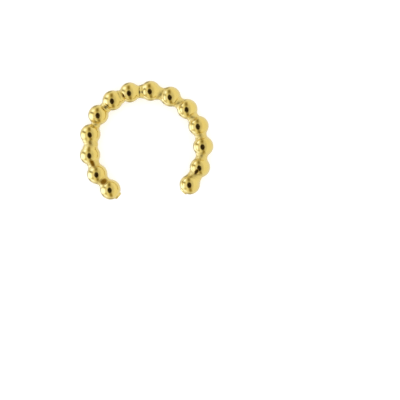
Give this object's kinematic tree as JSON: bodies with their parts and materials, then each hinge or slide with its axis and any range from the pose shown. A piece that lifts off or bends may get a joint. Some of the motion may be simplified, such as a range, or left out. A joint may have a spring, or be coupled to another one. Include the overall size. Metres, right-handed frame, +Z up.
{
  "type": "ear cuff",
  "caption": "Open oval ear cuff made of small polished gold balls soldered in a row, with a mouth that slips over the rim of the ear.",
  "frame": {"origin": "on the surface that the cuff lies on, under the middle of its bounding box", "axes": "+Z up, out of the ring's plane; the mouth opens towards -Y; +X to the right, across the ring"},
  "size_m": [0.013, 0.0116, 0.002],
  "materials": {
    "gold_plate": "polished gold plating on brass"
  },
  "bodies": {
    "root": {"beaded_cuff": "gold_plate"}
  },
  "joints": []
}
